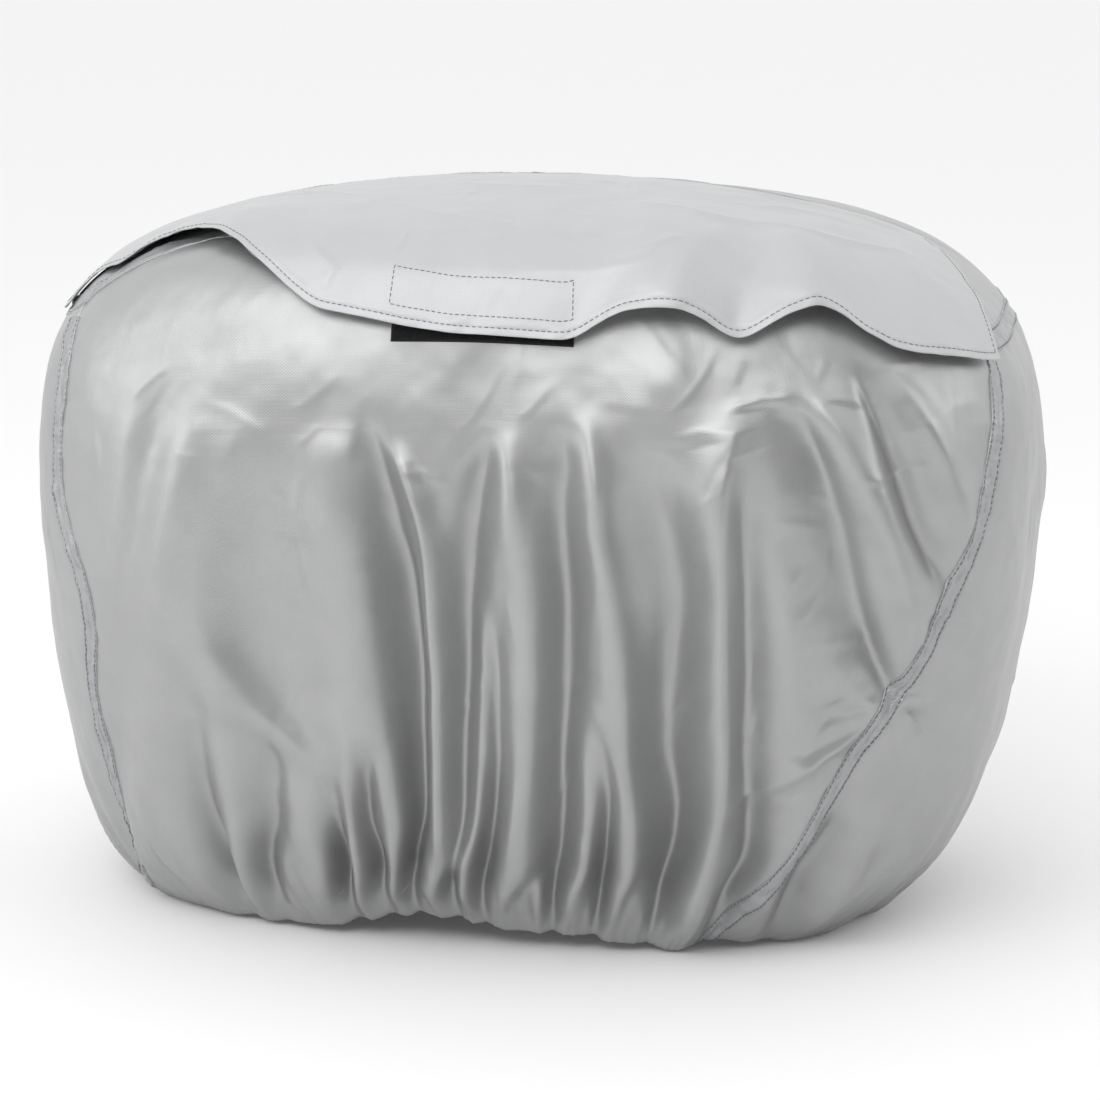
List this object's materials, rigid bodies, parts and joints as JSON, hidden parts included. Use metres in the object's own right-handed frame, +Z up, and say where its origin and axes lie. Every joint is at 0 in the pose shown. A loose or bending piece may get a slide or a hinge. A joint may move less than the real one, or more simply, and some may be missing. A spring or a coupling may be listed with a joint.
{
  "type": "portable generator cover",
  "caption": "Soft silver fabric cover for a suitcase-size generator: rounded box of sewn panels, gathered elastic hem, fold-back top flap closed by hook and loop.",
  "frame": {"origin": "middle of the cover's footprint, on the plane its hem stands on", "axes": "+X across the width to the right, -Y towards the front where the flap closes, +Z up"},
  "size_m": [0.5845, 0.3843, 0.4314],
  "materials": {
    "silver_fabric": "satin, coated woven polyester",
    "seam_tape": "satin, folded woven polyester",
    "thread": "matt",
    "hook_and_loop": "matt",
    "elastic": "matt, knitted"
  },
  "bodies": {
    "cover": {"front_panel": "silver_fabric", "back_panel": "silver_fabric", "left_side_panel": "silver_fabric", "right_side_panel": "silver_fabric", "top_panel": "silver_fabric", "front_right_seam": "seam_tape", "back_right_seam": "seam_tape", "back_left_seam": "seam_tape", "front_left_seam": "seam_tape", "top_front_seam": "seam_tape", "top_right_seam": "seam_tape", "top_back_seam": "seam_tape", "top_left_seam": "seam_tape", "opening_binding": "seam_tape", "flap_rear_seam": "seam_tape", "hem_casing": "seam_tape", "front_right_seam_stitching_a": "thread", "front_right_seam_stitching_b": "thread", "back_right_seam_stitching_a": "thread", "back_right_seam_stitching_b": "thread", "back_left_seam_stitching_a": "thread", "back_left_seam_stitching_b": "thread", "front_left_seam_stitching_a": "thread", "front_left_seam_stitching_b": "thread", "top_front_seam_stitching": "thread", "top_right_seam_stitching": "thread", "top_back_seam_stitching": "thread", "top_left_seam_stitching": "thread", "hem_casing_stitching": "thread", "flap_rear_stitching_a": "thread", "flap_rear_stitching_b": "thread", "loop_strip": "hook_and_loop", "hem_elastic": "elastic"},
    "flap": {"top_flap": "silver_fabric", "hook_strip": "hook_and_loop", "flap_hem_stitching": "thread", "hook_strip_stitching": "thread"}
  },
  "joints": [
    {"name": "flap_fold", "type": "hinge", "parent": "cover", "child": "flap", "pos_m": [0, 0.0403, 0.4282], "axis": [-1, 0, 0], "range_deg": [0, 170]}
  ]
}
